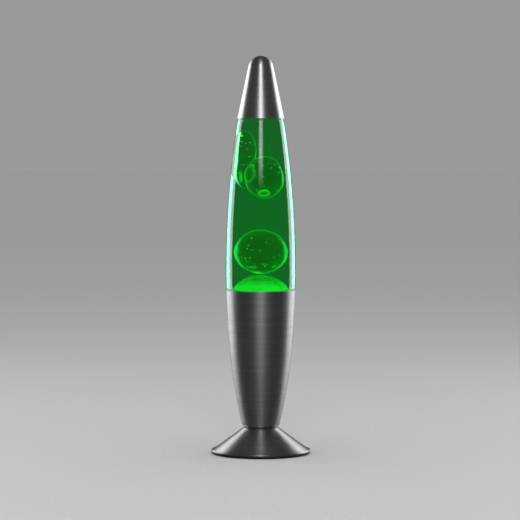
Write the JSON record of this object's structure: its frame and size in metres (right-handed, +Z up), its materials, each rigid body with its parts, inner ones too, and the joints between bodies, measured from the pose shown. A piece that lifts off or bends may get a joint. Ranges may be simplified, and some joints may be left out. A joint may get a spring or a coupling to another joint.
{
  "type": "liquid motion lamp",
  "caption": "Slim rocket-shaped wax motion table lamp: flared metal foot, tulip body, tapered glass bottle of liquid and wax, bullet cap.",
  "frame": {"origin": "centre of the underside, on the surface the lamp stands on", "axes": "+Z up along the lamp's axis; the cord hole in the foot is at the back, towards +Y; front is -Y"},
  "size_m": [0.1, 0.1, 0.4],
  "materials": {
    "foot_metal": "satin",
    "body_metal": "satin",
    "cap_metal": "satin",
    "black_plastic": "matte",
    "black_rubber": "matte",
    "grommet_rubber": "matte",
    "spacer_steel": "satin",
    "zinc_steel": "satin",
    "holder_plastic": "satin",
    "holder_ceramic": "satin",
    "contact_brass": "satin",
    "bulb_glass": "gloss",
    "bulb_cap_metal": "satin",
    "bulb_black_glass": "gloss",
    "bulb_solder": "satin",
    "bulb_stem_glass": "gloss",
    "bulb_wire": "satin",
    "bulb_filament": "satin",
    "bottle_glass": "gloss",
    "crown_metal": "gloss",
    "liner_plastic": "matte",
    "coil_steel": "satin",
    "wax": "satin",
    "liquid": "gloss"
  },
  "bodies": {
    "base": {"base_foot": "foot_metal", "base_body": "body_metal", "base_plate": "black_plastic", "foot_pad": "black_rubber", "cord_grommet": "grommet_rubber", "waist_spacer": "spacer_steel", "threaded_tube": "zinc_steel", "tube_nut_lower": "zinc_steel", "tube_nut_upper": "zinc_steel", "tube_washer_lower": "zinc_steel", "tube_washer_upper": "zinc_steel", "holder_cup": "holder_plastic", "holder_core": "holder_ceramic", "holder_screw_shell": "contact_brass", "holder_centre_contact": "contact_brass", "holder_terminal_screws": "contact_brass"},
    "bulb_glassware": {"bulb_envelope": "bulb_glass"},
    "bulb_screw_end": {"bulb_cap": "bulb_cap_metal", "bulb_insulator": "bulb_black_glass", "bulb_tip": "bulb_solder", "bulb_stem": "bulb_stem_glass", "bulb_supports": "bulb_wire", "bulb_filament": "bulb_filament"},
    "bottle": {"glass_bottle": "bottle_glass", "crown_closure": "crown_metal", "closure_liner": "liner_plastic", "heat_coil": "coil_steel", "wax_pool": "wax", "bottle_liquid": "liquid"},
    "cap": {"top_cap": "cap_metal"},
    "lower_wax": {"wax_blob_lower": "wax"},
    "right_wax": {"wax_blob_right": "wax"},
    "left_wax": {"wax_blob_left": "wax"}
  },
  "joints": [
    {"name": "bottle_lift", "type": "slide", "parent": "base", "child": "bottle", "axis": [0, 0, 1], "range_m": [0, 0.05]},
    {"name": "cap_lift", "type": "slide", "parent": "bottle", "child": "cap", "axis": [0, 0, 1], "range_m": [0, 0.06]},
    {"name": "bulb_rise", "type": "slide", "parent": "base", "child": "bulb_glassware", "axis": [0, 0, 1], "range_m": [0, 0.01129]},
    {"name": "bulb_turn", "type": "hinge", "parent": "bulb_glassware", "child": "bulb_screw_end", "pos_m": [0, 0, 0.06], "axis": [0, 0, 1], "range_deg": [0, 1441]},
    {"name": "lower_wax_rise", "type": "slide", "parent": "bottle", "child": "lower_wax", "axis": [0, 0, 1], "range_m": [0, 0.028], "deforming": ["bottle_liquid"]},
    {"name": "right_wax_rise", "type": "slide", "parent": "bottle", "child": "right_wax", "axis": [0, 0, 1], "range_m": [0, 0.02], "deforming": ["bottle_liquid"]},
    {"name": "left_wax_rise", "type": "slide", "parent": "bottle", "child": "left_wax", "axis": [0, 0, 1], "range_m": [-0.008, 0.01], "deforming": ["bottle_liquid"]}
  ],
  "couplings": [
    {"joint": "bulb_turn", "follows": "bulb_rise", "rad_per_m": 2226.5}
  ]
}
